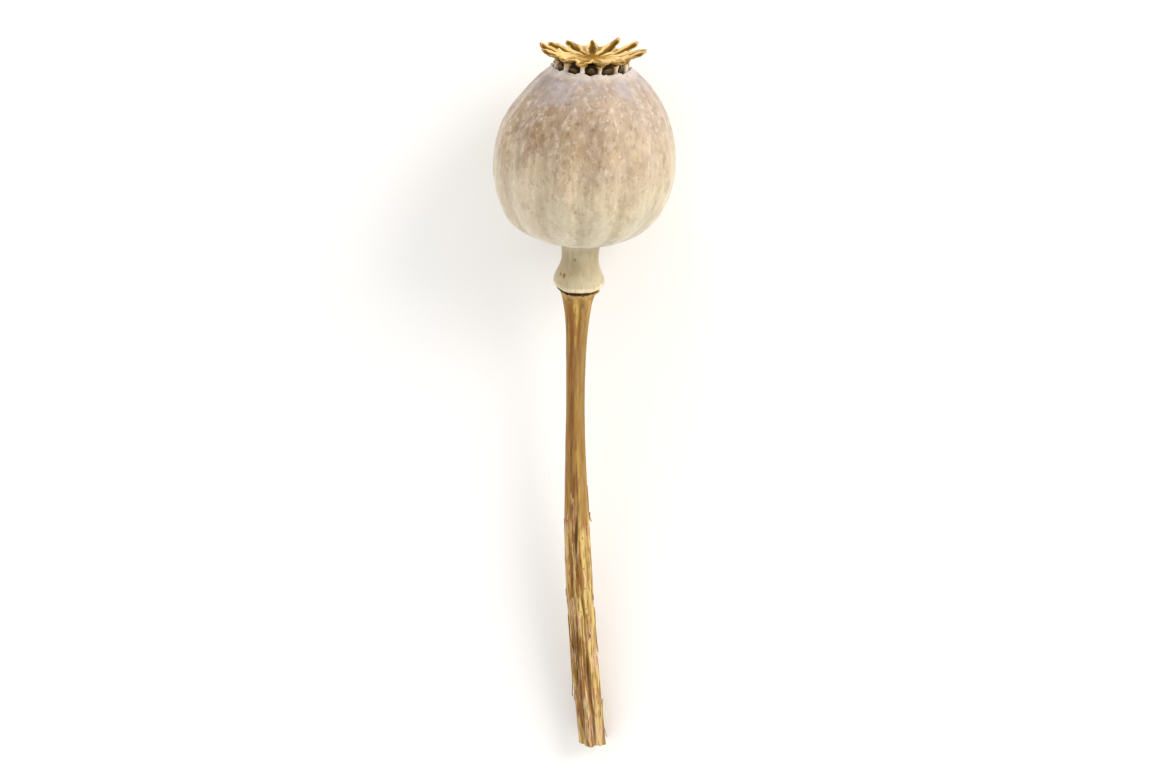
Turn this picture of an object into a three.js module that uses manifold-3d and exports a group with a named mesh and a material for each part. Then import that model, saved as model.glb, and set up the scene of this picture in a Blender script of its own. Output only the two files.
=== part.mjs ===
// Dried poppy seed head with a cut length of its stem, lying on a flat surface.
// Units are millimetres and +Z is up. Each piece is shaped upright on the seed head's own axis,
// with z = 0 at the stem's cut end. The whole is then laid down, crown towards +Y, so that two of
// the capsule's ribs and the stem's cut end carry it. The origin is under the middle of the whole.
import * as THREE from "three";
import { mergeVertices } from "three/addons/utils/BufferGeometryUtils.js";
import Module from "manifold-3d";

const wasm = await Module();
wasm.setup();

// Driving dimensions
const CAPSULE_RADIUS = 18; // at the belly, midway between a rib's crest and a furrow
const CARPELS = 13; // the capsule has as many ribs and pores as the crown has rays
const FURROW_ANGLE = Math.PI / 2; // around the axis, where the furrow that faces the surface lies
const STEM_LENGTH = 100; // from the cut end to the lip under the petal scar
const STEM_BEND = 7.5; // how far the cut end lies to one side of the seed head's axis
const JOINT_GAP = 0.3; // left between two pieces that meet

// Stem: a slim stalk that thickens towards the cut and opens like a trumpet under the scar
const STEM_CUT_RADIUS = 2.8;
const STEM_THIN_RADIUS = 1.85;
const STEM_THIN_SHARE = 0.2; // it is thin down to this share of its length below the lip
const STEM_THICK_SHARE = 0.65; // and full thickness from this share down
const STEM_FLARE = 1.75; // how far the trumpet opens, over the length below
const STEM_FLARE_LENGTH = 6;
const STEM_LIP = 0.45; // how far the thin lip stands out from the trumpet's end
const STEM_LIP_LENGTH = 0.9;
const STEM_RINGS = 28;
const STEM_RING_CROWDING = 2.2; // above 1, the rings lie closer together towards the lip

// Petal scar: the dark corky ring that the fallen petals and stamens left
const SCAR_RADIUS = 4.2;
const SCAR_WAIST = 0.3; // depth of the groove around it
const SCAR_HEIGHT = 0.5;

// Receptacle: the short pale neck, with a bell-shaped rim above the scar
const RECEPTACLE_LENGTH = 7.6;
const RIM_RADIUS = 5.2;
const RIM_ROUND = 0.6;
const WAIST_RADIUS = 3.7;
const BELL_HEIGHT = 4.4;
const BELL_POWER = 1.7; // above 1, the bell's side is hollow
const RECEPTACLE_RINGS = 9;

// Capsule: a superellipse below the belly and an ellipse above it, cut off at the pores' sill
const LOWER_HEIGHT = 0.87 * CAPSULE_RADIUS;
const UPPER_HEIGHT = 1.23 * CAPSULE_RADIUS;
const LOWER_POWER = 2.2;
const RIB_DEPTH = 0.016; // share of the radius
const SILL_RADIUS = 0.455 * CAPSULE_RADIUS;
const COLUMN_RADIUS = 0.3 * CAPSULE_RADIUS;
const PORE_HEIGHT = 1.5;
const PILLAR_WIDTH = 1;
const PILLAR_INSET = 0.6; // how far a pillar stands in from the sill's edge, and runs into the column
const PILLAR_ROOT = 1; // how far it runs down below the sill
const HALF_RINGS = 10; // rings in the lower half, and in the upper
const STEPS_PER_RIB = 6;

// Stigma crown: a low dish with a boss, and upturned rays that are folded like gutters
const DISH_RADIUS = 0.42 * CAPSULE_RADIUS;
const DISH_THICKNESS = 0.8;
const BOSS_RADIUS = 2.4;
const BOSS_HEIGHT = 1.5;
const RAY_START_RADIUS = 2.8;
const RAY_TIP_RADIUS = 10.2;
const RAY_TIP_HEIGHT = 3.2;
const RAY_WIDTH = 2.2;
const RAY_THICKNESS = 0.55;
const RAY_FOLD = 0.65; // how far a ray's edges stand above its middle
const RAY_STEPS = 7;

const ROUND_SEGMENTS = 36;
const STEM_SEGMENTS = 20;

// Where each piece starts on the axis
const SCAR_Z = STEM_LENGTH + JOINT_GAP;
const RECEPTACLE_Z = SCAR_Z + SCAR_HEIGHT + JOINT_GAP;
const CAPSULE_Z = RECEPTACLE_Z + RECEPTACLE_LENGTH + JOINT_GAP;
const BELLY_Z = CAPSULE_Z + LOWER_HEIGHT;
const SILL_Z = BELLY_Z + UPPER_HEIGHT * Math.sqrt(1 - (SILL_RADIUS / CAPSULE_RADIUS) ** 2);
const CROWN_Z = SILL_Z + PORE_HEIGHT + JOINT_GAP;

// Spins a list of [radius, height] points, from bottom to top, about the Z axis.
function turned(profile, segments) {
  const points = profile.map(([radius, height]) => new THREE.Vector2(radius, height));
  return new THREE.LatheGeometry(points, segments).rotateX(Math.PI / 2);
}

// Calls place(x, y, z), which gives the new [x, y, z], for every vertex of a geometry.
function reshaped(geometry, place) {
  const position = geometry.attributes.position;
  for (let i = 0; i < position.count; i++) {
    position.setXYZ(i, ...place(position.getX(i), position.getY(i), position.getZ(i)));
  }
  return geometry;
}

function steps(count, at) {
  return Array.from({ length: count + 1 }, (_, i) => at(i / count));
}

function toSolid(geometry) {
  const bare = geometry.clone();
  bare.deleteAttribute("normal");
  bare.deleteAttribute("uv");
  const merged = mergeVertices(bare, 1e-3);
  return new wasm.Manifold(
    new wasm.Mesh({
      numProp: 3,
      vertProperties: merged.attributes.position.array,
      triVerts: new Uint32Array(merged.index.array),
    }),
  );
}

function toGeometry(solid) {
  const mesh = solid.getMesh();
  return new THREE.BufferGeometry()
    .setAttribute("position", new THREE.BufferAttribute(mesh.vertProperties, 3))
    .setIndex(new THREE.BufferAttribute(mesh.triVerts, 1));
}

// Adds one copy of a geometry, made along +x, on each rib of a core.
function withCarpels(core, geometry) {
  let whole = toSolid(core);
  for (let k = 0; k < CARPELS; k++) {
    const angle = FURROW_ANGLE + ((2 * k + 1) * Math.PI) / CARPELS;
    whole = whole.add(toSolid(geometry.clone().rotateZ(angle)));
  }
  return toGeometry(whole);
}

// The stem's radius: thin above and thick below, plus a trumpet and a thin lip that die away downwards.
function stemRadius(z) {
  const thicker = THREE.MathUtils.smoothstep(1 - z / STEM_LENGTH, STEM_THIN_SHARE, STEM_THICK_SHARE);
  const stalk = STEM_THIN_RADIUS + (STEM_CUT_RADIUS - STEM_THIN_RADIUS) * thicker;
  const flare = STEM_FLARE * Math.exp((z - STEM_LENGTH) / STEM_FLARE_LENGTH);
  const lip = STEM_LIP * Math.exp((z - STEM_LENGTH) / STEM_LIP_LENGTH);
  return stalk + flare + lip;
}

function stemGeometry() {
  const side = steps(STEM_RINGS, (t) => {
    const z = STEM_LENGTH * (1 - (1 - t) ** STEM_RING_CROWDING);
    return [stemRadius(z), z];
  });
  const straight = turned([[0, 0], ...side, [0, STEM_LENGTH]], STEM_SEGMENTS);
  return reshaped(straight, (x, y, z) => [x + STEM_BEND * (1 - z / STEM_LENGTH) ** 2, y, z]);
}

function scarGeometry() {
  const profile = [
    [0, 0],
    [SCAR_RADIUS, 0],
    [SCAR_RADIUS - SCAR_WAIST, SCAR_HEIGHT / 2],
    [SCAR_RADIUS, SCAR_HEIGHT],
    [0, SCAR_HEIGHT],
  ];
  return turned(profile, ROUND_SEGMENTS).translate(0, 0, SCAR_Z);
}

function receptacleGeometry() {
  const roundEdge = steps(3, (t) => {
    const angle = (t * Math.PI) / 2;
    return [RIM_RADIUS - RIM_ROUND * (1 - Math.sin(angle)), RIM_ROUND * (1 - Math.cos(angle))];
  });
  const bell = steps(RECEPTACLE_RINGS, (t) => {
    const z = RIM_ROUND + t * (RECEPTACLE_LENGTH - RIM_ROUND);
    const share = Math.min(1, (z - RIM_ROUND) / BELL_HEIGHT);
    return [WAIST_RADIUS + (RIM_RADIUS - WAIST_RADIUS) * (1 - share) ** BELL_POWER, z];
  }).slice(1);
  const profile = [[0, 0], ...roundEdge, ...bell, [0, RECEPTACLE_LENGTH]];
  return turned(profile, ROUND_SEGMENTS).translate(0, 0, RECEPTACLE_Z);
}

function capsuleGeometry() {
  const lower = steps(HALF_RINGS, (t) => {
    const angle = (t * Math.PI) / 2;
    const power = 2 / LOWER_POWER;
    return [CAPSULE_RADIUS * Math.sin(angle) ** power, BELLY_Z - LOWER_HEIGHT * Math.cos(angle) ** power];
  });
  lower[0][0] = 0;
  lower[HALF_RINGS][1] = BELLY_Z;
  const sillAngle = Math.acos(SILL_RADIUS / CAPSULE_RADIUS);
  const upper = steps(HALF_RINGS, (t) => {
    const angle = t * sillAngle;
    return [CAPSULE_RADIUS * Math.cos(angle), BELLY_Z + UPPER_HEIGHT * Math.sin(angle)];
  }).slice(1);
  const top = SILL_Z + PORE_HEIGHT;
  const column = [
    [COLUMN_RADIUS, SILL_Z],
    [COLUMN_RADIUS, top],
    [0, top],
  ];
  const plain = turned([...lower, ...upper, ...column], CARPELS * STEPS_PER_RIB).rotateZ(FURROW_ANGLE);
  const ribbed = reshaped(plain, (x, y, z) => {
    const scale = 1 - RIB_DEPTH * Math.cos(CARPELS * (Math.atan2(y, x) - FURROW_ANGLE));
    return [x * scale, y * scale, z];
  });
  // A pillar stands on each rib, from inside the column to the sill's edge, between two pores.
  const pillarDepth = SILL_RADIUS - COLUMN_RADIUS;
  const pillar = new THREE.BoxGeometry(pillarDepth, PILLAR_WIDTH, PORE_HEIGHT + PILLAR_ROOT);
  const pillarRadius = COLUMN_RADIUS - PILLAR_INSET + pillarDepth / 2;
  pillar.translate(pillarRadius, 0, SILL_Z + (PORE_HEIGHT - PILLAR_ROOT) / 2);
  return withCarpels(ribbed, pillar);
}

function crownGeometry() {
  const dish = turned(
    [
      [0, 0],
      [DISH_RADIUS - DISH_THICKNESS / 2, 0],
      [DISH_RADIUS, DISH_THICKNESS / 2],
      [DISH_RADIUS - DISH_THICKNESS / 2, DISH_THICKNESS],
      [BOSS_RADIUS, DISH_THICKNESS],
      [BOSS_RADIUS / 2, BOSS_HEIGHT],
      [0, BOSS_HEIGHT],
    ],
    ROUND_SEGMENTS,
  );
  // The ray's section, seen along the ray with +y downwards: a gutter with its edges up.
  const half = RAY_WIDTH / 2;
  const wall = RAY_THICKNESS;
  const section = new THREE.Shape([
    new THREE.Vector2(-half, -RAY_FOLD),
    new THREE.Vector2(-half / 2, wall / 2),
    new THREE.Vector2(half / 2, wall / 2),
    new THREE.Vector2(half, -RAY_FOLD),
    new THREE.Vector2(half - wall / 2, -RAY_FOLD - wall / 2),
    new THREE.Vector2(0, -wall / 2),
    new THREE.Vector2(wall / 2 - half, -RAY_FOLD - wall / 2),
  ]);
  const route = new THREE.QuadraticBezierCurve3(
    new THREE.Vector3(RAY_START_RADIUS, 0, DISH_THICKNESS / 2),
    new THREE.Vector3(DISH_RADIUS, 0, DISH_THICKNESS / 2),
    new THREE.Vector3(RAY_TIP_RADIUS, 0, RAY_TIP_HEIGHT),
  );
  const ray = new THREE.ExtrudeGeometry(section, { steps: RAY_STEPS, extrudePath: route });
  return withCarpels(dish, ray).translate(0, 0, CROWN_Z);
}

function piece(name, geometry, colour, roughness) {
  const material = new THREE.MeshStandardMaterial({ color: colour, roughness, metalness: 0 });
  const mesh = new THREE.Mesh(geometry, material);
  mesh.name = name;
  return mesh;
}

const capsule = capsuleGeometry();
const seedHead = new THREE.Group();
seedHead.add(
  piece("stem", stemGeometry(), 0xa88348, 0.75),
  piece("petal_scar", scarGeometry(), 0x4f3519, 0.9),
  piece("receptacle", receptacleGeometry(), 0xcfc6a4, 0.75),
  piece("capsule", capsule, 0xcdb898, 0.8),
  piece("stigma_crown", crownGeometry(), 0xdcb05c, 0.7),
);

// The lean at which the capsule's lowest vertices and the edge of the cut rest on one plane.
// The side that faces the surface is the pieces' own +y.
function restingLean(geometry) {
  const position = geometry.attributes.position;
  let lean = 0;
  for (let i = 0; i < position.count; i++) {
    lean = Math.max(lean, Math.atan2(position.getY(i) - STEM_CUT_RADIUS, position.getZ(i)));
  }
  return lean;
}

// Laid down, and turned so that the crown and the bent stem's cut end are in line along Y.
const yaw = -Math.atan2(STEM_BEND, CROWN_Z);
seedHead.rotation.set(restingLean(capsule) - Math.PI / 2, 0, yaw, "ZYX");

const lying = new THREE.Group();
lying.add(seedHead);
lying.updateMatrixWorld(true);
const extent = new THREE.Box3().setFromObject(seedHead, true);
const middle = extent.getCenter(new THREE.Vector3());
seedHead.position.set(-middle.x, -middle.y, -extent.min.z);

export default lying;
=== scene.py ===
import math

import bpy
import numpy as np
from mathutils import Matrix, Vector


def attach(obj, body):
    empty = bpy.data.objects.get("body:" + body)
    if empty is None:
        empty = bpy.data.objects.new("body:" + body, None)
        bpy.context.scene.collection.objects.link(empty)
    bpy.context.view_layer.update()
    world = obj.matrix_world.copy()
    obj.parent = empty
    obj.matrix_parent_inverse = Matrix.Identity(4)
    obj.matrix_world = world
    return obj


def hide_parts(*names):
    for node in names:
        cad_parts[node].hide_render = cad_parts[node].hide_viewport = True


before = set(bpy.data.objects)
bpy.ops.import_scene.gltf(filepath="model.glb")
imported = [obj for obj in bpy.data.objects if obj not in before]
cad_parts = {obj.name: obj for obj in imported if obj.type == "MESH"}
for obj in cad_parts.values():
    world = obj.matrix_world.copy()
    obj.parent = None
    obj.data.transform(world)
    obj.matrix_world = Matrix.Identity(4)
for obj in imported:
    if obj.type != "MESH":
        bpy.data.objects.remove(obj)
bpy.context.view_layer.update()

# Driving sizes, in metres, beside those that are measured on the frame
MM = 0.001
CARPELS = 13
HALF_PITCH = math.pi / CARPELS
FURROW_ANGLE = math.pi / 2
RIB_ANGLE = FURROW_ANGLE + HALF_PITCH
PORE_HEIGHT = 1.5 * MM
SEED = 7

# Camera
IMAGE_SHAPE = 1168 / 778
SENSOR = 36
VIEW_DISTANCE = 0.5
VIEW_ABOVE_BELLY = math.radians(13.3)
VIEW_TURN = HALF_PITCH
FRONT_ANGLE = VIEW_TURN - math.pi / 2
AXIS_LEAN = math.radians(2.6)
FRAME_FILL = 0.92
AIM_ROUNDS = 4

# Capsule
LOWER_POWER = 2.2
SILL_SHARE = 0.455
CREST_SWELL = 1.016
FOOT_TURN = 0.02
CAPSULE_COLUMNS = 456
LOWER_ROWS = 82
UPPER_ROWS = 104
LIP_ROWS = 7
TRENCH_ROWS = 12
COLUMN_ROWS = 6
RIB_DEPTH_BELLY = 0.013
RIB_DEPTH_TOP = 0.006
RIB_DEPTH_BASE = 0.012
RIB_WANDER = 0.3
RIB_WANDER_SIZE = 22 * MM
RIB_UNEVENNESS = 0.4
RIB_UNEVEN_SIZE = 30 * MM
DENT_DEPTH = 0.13 * MM
DENT_SIZE = 13 * MM
PUCKER_DEPTH = 0.028 * MM
PUCKER_SIZE = 2.4 * MM
LIP_RADIUS = 0.32 * MM
LIP_SCALLOP = 0.22 * MM
LIP_TOOTH = 0.1 * MM
LIP_TOOTH_SIZE = 0.9 * MM
TRENCH_WIDTH = 2.2 * MM
TRENCH_DEPTH = 1.6 * MM
TOP_LEAN = 0.65 * MM

# Uneven left side of the capsule: depth, share of the height, and reach as a share of the height
LEFT_HOLLOW = (-0.95 * MM, 0.87, 0.14)
LEFT_BULGE = (0.9 * MM, 0.1, 0.09)

# Marks on the capsule: turn from the front, share of the height, and reach around and along it
BLUSH = (-0.6, 0.76, 0.8, 0.19)
# Painted shade under the crown's overhang, on the upper left shoulder
PAINTED_SHADE_UNDER_CROWN = (-1.0, 0.95, 0.35, 0.045)
# Lighter sides: a lobe on the right, partly a paler tone and partly painted light, and painted fill light on
# the lower left
FAIR_LIT_TURN = 0.8
FAIR_LIT_REACH = 0.6
PAINTED_FILL_TURN = -0.75
PAINTED_FILL_REACH = 0.5
PAINTED_FILL_STRENGTH = 1.6

# Pillars between the pores, and the little valves that hang in the pores
PILLAR_HALF_WIDTH = 0.42 * MM
PILLAR_HALF_DEPTH = 0.55 * MM
PILLAR_TOP_RADIUS = 6.9 * MM
PILLAR_INSET = 0.7 * MM
PILLAR_ROOT = 0.9 * MM
PILLAR_ROWS = 15
PILLAR_COLUMNS = 16
VALVE_HALF_WIDTH = 0.8 * MM
VALVE_LENGTH = 1.4 * MM
VALVE_THICKNESS = 0.14 * MM
VALVE_INSET = 1.2 * MM
VALVE_START = math.radians(92)
VALVE_CURL = math.radians(80)
VALVE_ROWS = 12
VALVE_COLUMNS = 14

# Crown: a thin pleated dish that is slit into rays
RAY_REACH = 10.7 * MM
RAY_BASE_HALF = 1.42 * MM
RAY_TIP_HALF = 0.7 * MM
RAY_TIP_LENGTH = 2.2 * MM
SPOON_LENGTH = 1.1 * MM
SINUS_RADIUS = 6.9 * MM
RAY_RISE = 1.6 * MM
RAY_ROLL = 1.0
FRONT_DROOP = 0.72
RIGHT_LIFT = 0.5
RISE_START = 5.5 * MM
RISE_POWER = 1.2
CROWN_SEED = 139032
RAY_SHORTER = 0.05
RAY_LONGER = 0.02
RAY_SWING = 0.08
RAY_UNEVEN_RISE = 0.4
RAY_UNEVEN_ROLL = 0.15
PLEAT_HEIGHT = 0.58 * MM
PLEAT_POWER = 1.8
VEIN_DEPTH = 0.06 * MM
SHEET_THICKNESS = 0.3 * MM
EDGE_THICKNESS = 0.14 * MM
APRON = 0.35 * MM
BOSS_HEIGHT = 0.9 * MM
BOSS_RADIUS = 1.5 * MM
SECTOR_COLUMNS = 44
CROWN_ROWS = 38

# Neck and scar
WAIST_RADIUS = 3.7 * MM
BEAD_RADIUS = 0.28 * MM
BEAD_GROOVE = 0.08 * MM
BEAD_ROWS = 11
BELL_HEIGHT = 4.4 * MM
BELL_POWER = 1.7
BELL_ROWS = 60
NECK_FILLET = 1.1 * MM
NECK_CAP_ROWS = 5
NECK_FOOT_ROWS = 7
NECK_COLUMNS = 180
JOINT_SAG = 0.21
SPOT_TURN = -0.76
SPOT_HEIGHT = 2.4 * MM
SPOT_RADIUS = 0.9 * MM
SCAR_RADIUS = 4.2 * MM
SCAR_GROOVE = 0.25 * MM
SCAR_STUBS = 46
SCAR_ROWS = 20
SCAR_CAP_ROWS = 6
SCAR_COLUMNS = 240

# Stem
STEM_CUT_RADIUS = 2.8 * MM
STEM_THIN_RADIUS = 1.85 * MM
STEM_THIN_SHARE = 0.2
STEM_THICK_SHARE = 0.65
STEM_FLARE = 1.75 * MM
STEM_FLARE_LENGTH = 6 * MM
STEM_LIP = 0.75 * MM
STEM_LIP_LENGTH = 0.9 * MM
STEM_BEND = 7.5 * MM
STEM_COLUMNS = 176
STEM_ROWS = 480
STEM_TWIST = 4
PITH_DEPTH = 0.35 * MM
ROUGH_BELOW = 58 * MM
STRIPE_ANGLE = -1.45
SPLIT_ANGLE = -1.25
SPLIT_DEPTH = 0.26
STRIPS = 30
STRIP_ROWS = 34
STRIP_COLUMNS = 10
STRIP_HALF_THICKNESS = 0.09 * MM

# Light
EDGE_LIGHT = 2.05
OVERHEAD_LIGHT = 0.5
KEY_POWER = 4.9
BACK_POWER = 1.8
FLOOR_HALF = 3.0
SHEEN_ROUGHNESS = 0.45


# Measuring the frame


def node_triangles(name):
    """A CAD node's triangles, as an array of triangle, corner and x, y, z."""
    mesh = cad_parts[name].data
    mesh.calc_loop_triangles()
    corners = np.empty(3 * len(mesh.loop_triangles), dtype=np.int32)
    mesh.loop_triangles.foreach_get("vertices", corners)
    places = np.empty(3 * len(mesh.vertices), dtype=np.float32)
    mesh.vertices.foreach_get("co", places)
    return places.astype(float).reshape(-1, 3)[corners].reshape(-1, 3, 3)


def surface_centre(name):
    """The middle of a node's surface: its triangles' middles, weighted by their areas."""
    triangles = node_triangles(name)
    sides = triangles[:, 1:] - triangles[:, :1]
    areas = np.linalg.norm(np.cross(sides[:, 0], sides[:, 1]), axis=1)
    return (triangles.mean(axis=1) * areas[:, None]).sum(axis=0) / areas.sum()


def unit(vector):
    return vector / np.linalg.norm(vector)


# The seed head's own upright axes: across, towards the floor, and from the cut end to the crown
crown_middle = surface_centre("stigma_crown")
AXIS = unit(crown_middle - surface_centre("receptacle"))
ACROSS = unit(np.cross(AXIS, (0, 0, 1)))
UNDER = np.cross(AXIS, ACROSS)
AXES = np.array([ACROSS, UNDER, AXIS])
cut_height = (node_triangles("stem") @ AXIS).min()
FOOT = crown_middle + AXIS * (cut_height - crown_middle @ AXIS)


def upright(points):
    return (points - FOOT) @ AXES.T


def laid_down(points):
    return FOOT + points @ AXES


def measured(name):
    """A node's lowest and highest place on the axis, its greatest radius, and the height of that radius."""
    points = upright(node_triangles(name).reshape(-1, 3))
    radius = np.hypot(points[:, 0], points[:, 1])
    return points[:, 2].min(), points[:, 2].max(), radius.max(), points[radius.argmax(), 2]


STEM_LENGTH = measured("stem")[1]
NECK_Z, NECK_TOP, RIM_RADIUS, _ = measured("receptacle")
CAPSULE_Z, CAPSULE_TOP, CREST_RADIUS, BELLY_Z = measured("capsule")
CROWN_Z = measured("stigma_crown")[0]
CAPSULE_RADIUS = CREST_RADIUS / CREST_SWELL
LOWER_HEIGHT = BELLY_Z - CAPSULE_Z
SILL_RADIUS = SILL_SHARE * CAPSULE_RADIUS
SILL_Z = CAPSULE_TOP - PORE_HEIGHT
SILL_ANGLE = math.acos(SILL_SHARE)
UPPER_HEIGHT = (SILL_Z - BELLY_Z) / math.sin(SILL_ANGLE)


# Mesh making


def smooth(value, low, high):
    """0 below low, 1 above high, and a soft S-curve between them."""
    share = np.clip((value - low) / (high - low), 0, 1)
    return share * share * (3 - 2 * share)


def bell(value, middle, reach):
    """A bell curve: 1 at the middle, and 1/e at the reach from it."""
    return np.exp(-(((value - middle) / reach) ** 2))


def lumps(points, size, seed, waves=26, stretch=1):
    """Random soft lumps, about -1 to 1: a sum of plane waves in random directions, stretched along the
    axis."""
    draw = np.random.default_rng(SEED * 1000 + seed)
    direction = draw.normal(size=(waves, 3))
    direction /= np.linalg.norm(direction, axis=1, keepdims=True)
    direction *= 2 * np.pi / size * draw.uniform(0.6, 1.4, size=(waves, 1))
    phase = draw.uniform(0, 2 * np.pi, waves)
    narrowed = points * np.array([1, 1, 1 / stretch])
    total = np.zeros(points.shape[:-1])
    for turn, start in zip(direction, phase):
        total += np.sin(narrowed @ turn + start)
    return total / math.sqrt(waves)


def around(count):
    return np.arange(count) * 2 * np.pi / count


def off_angle(angle, middle):
    """How far an angle is from a middle one, the short way round."""
    return np.abs((angle - middle + np.pi) % (2 * np.pi) - np.pi)


def rings(radius, height, angle):
    """Points of a turned shape: radius and height by row, angle by column."""
    radius, height, angle = np.broadcast_arrays(radius, height, angle)
    return np.stack([radius * np.cos(angle), radius * np.sin(angle), height], axis=-1)


def stacked(*parts):
    """Lists of rows, one after another, as one column."""
    return np.concatenate(parts)[:, None]


def with_poles(values):
    """Values by copy, row and column, as a list: each copy's grid, then the means of its end rings."""
    copies, rows, columns = values.shape[:3]
    grid = values.reshape(copies, rows * columns, -1)
    ends = values[:, [0, -1]].mean(axis=2)
    joined = np.concatenate([grid, ends.reshape(copies, 2, -1)], axis=1)
    return joined.reshape(copies * (rows * columns + 2), -1)


def ring_faces(copies, rows, columns):
    """Quads between neighbouring rings and triangles at the two poles, all facing outwards."""
    column = np.arange(columns)
    after = (column + 1) % columns
    row = np.arange(rows - 1)[:, None] * columns
    quads = np.stack([row + column, row + after, row + columns + after, row + columns + column], axis=-1)
    low_pole = np.full(columns, rows * columns)
    last = (rows - 1) * columns
    low_fan = np.stack([low_pole, after, column], axis=-1)
    high_fan = np.stack([low_pole + 1, last + column, last + after], axis=-1)
    step = np.arange(copies)[:, None, None] * (rows * columns + 2)
    quads = (quads.reshape(1, -1, 4) + step).reshape(-1, 4)
    fans = (np.concatenate([low_fan, high_fan])[None] + step).reshape(-1, 3)
    return quads.tolist() + fans.tolist()


def settled(points):
    """The lean above the belly, by a square law, and the joint of stem and neck, which sags in front."""
    x, y, z = np.moveaxis(points, -1, 0)
    lean = TOP_LEAN * np.maximum((z - BELLY_Z) / (CROWN_Z - BELLY_Z), 0) ** 2
    near_joint = smooth(z, NECK_Z + 4.5 * MM, NECK_Z) * smooth(z, STEM_LENGTH - 7 * MM, STEM_LENGTH)
    towards_view = x * math.cos(FRONT_ANGLE) + y * math.sin(FRONT_ANGLE)
    return np.stack([x + lean, y, z - JOINT_SAG * towards_view * near_joint], axis=-1)


def add_piece(name, material, slot, replaced, points, masks, grown=None):
    """Lays closed shapes down in the frame as one mesh. points is by copy, row, column and x, y, z, upright.
    The attribute grown is the unbent place in millimetres, and masks are further attributes."""
    copies, rows, columns = points.shape[:3]
    mesh = bpy.data.meshes.new(name)
    places = laid_down(settled(with_poles(points)))
    mesh.from_pydata(places.tolist(), [], ring_faces(copies, rows, columns))
    mesh.polygons.foreach_set("use_smooth", np.ones(len(mesh.polygons), dtype=bool))
    place = with_poles(points if grown is None else grown) / MM
    attribute = mesh.attributes.new("grown", "FLOAT_VECTOR", "POINT")
    attribute.data.foreach_set("vector", place.astype(np.float32).ravel())
    for label, values in masks.items():
        spread = np.broadcast_to(values, points.shape[:3])
        attribute = mesh.attributes.new(label, "FLOAT", "POINT")
        attribute.data.foreach_set("value", with_poles(spread).astype(np.float32).ravel())
    mesh.materials.append(material)
    mesh.update()
    piece = bpy.data.objects.new(name, mesh)
    bpy.context.scene.collection.objects.link(piece)
    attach(piece, "root")
    if replaced:
        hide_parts(replaced)


# Node trees


def shade(colour):
    """A colour as the eye sees it on a screen, from 0 to 255, as linear light. A socket stays as it is."""
    if isinstance(colour, bpy.types.NodeSocket):
        return colour
    seen = np.array(colour) / 255
    light = np.where(seen <= 0.04045, seen / 12.92, ((seen + 0.055) / 1.055) ** 2.4)
    return (*light.tolist(), 1.0)


class Nodes:
    """A node tree, and the steps that patterns are made of in it."""

    def __init__(self, tree):
        self.tree = tree

    def add(self, kind, inputs=None, **settings):
        """Adds a node, sets its properties, and fills its inputs with numbers, colours or sockets."""
        made = self.tree.nodes.new("ShaderNode" + kind)
        for key, value in settings.items():
            setattr(made, key, value)
        for key, value in (inputs or {}).items():
            if isinstance(value, bpy.types.NodeSocket):
                self.tree.links.new(value, made.inputs[key])
            else:
                made.inputs[key].default_value = value
        return made

    def maths(self, operation, first, second):
        return self.add("Math", {0: first, 1: second}, operation=operation).outputs[0]

    def times(self, first, second):
        return self.maths("MULTIPLY", first, second)

    def vectors(self, operation, first, second):
        return self.add("VectorMath", {0: first, 1: second}, operation=operation).outputs[0]

    def ranged(self, value, low, high, to_low=0.0, to_high=1.0):
        """A value between low and high, carried softly over to the range from to_low to to_high."""
        inputs = {"Value": value, "From Min": low, "From Max": high, "To Min": to_low, "To Max": to_high}
        return self.add("MapRange", inputs, interpolation_type="SMOOTHSTEP").outputs[0]

    def noise(self, place, scale, detail, harshness=0.5):
        """Cloudy noise at a place."""
        inputs = {"Vector": place, "Scale": scale, "Detail": detail, "Roughness": harshness}
        return self.add("TexNoise", inputs).outputs

    def mixed(self, under, over, mask, strength=None):
        """A colour over another, as far as a mask says, times a strength if one is given."""
        share = mask if strength is None else self.times(mask, strength)
        return self.add("Mix", {0: share, 6: shade(under), 7: shade(over)}, data_type="RGBA").outputs[2]


class Pattern(Nodes):
    """A node group that takes a place and some numbers, and gives one value. Its own place counts in units of
    its Width across the axis and of its Length along it."""

    def __init__(self, name, output, *numbers):
        super().__init__(bpy.data.node_groups.new(name, "ShaderNodeTree"))
        sockets = self.tree.interface
        sockets.new_socket("Place", in_out="INPUT", socket_type="NodeSocketVector")
        for label in ("Width", "Length", *numbers):
            sockets.new_socket(label, in_out="INPUT", socket_type="NodeSocketFloat")
        sockets.new_socket(output, in_out="OUTPUT", socket_type="NodeSocketFloat")
        self.given = self.tree.nodes.new("NodeGroupInput").outputs
        across = self.maths("DIVIDE", 1.0, self.given["Width"])
        along = self.maths("DIVIDE", 1.0, self.given["Length"])
        scale = self.add("CombineXYZ", {0: across, 1: across, 2: along}).outputs[0]
        self.place = self.vectors("MULTIPLY", self.given["Place"], scale)

    def giving(self, value):
        self.tree.links.new(value, self.tree.nodes.new("NodeGroupOutput").inputs[0])
        return self.tree


def mottling_group():
    """Cloudy blotches of a width and a length: a mask that rises from 0 at Low to 1 at High."""
    blots = Pattern("Mottling", "Mask", "Detail", "Harshness", "Low", "High")
    given = blots.given
    clouds = blots.noise(blots.place, 1.0, given["Detail"], given["Harshness"])[0]
    return blots.giving(blots.ranged(clouds, given["Low"], given["High"]))


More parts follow.
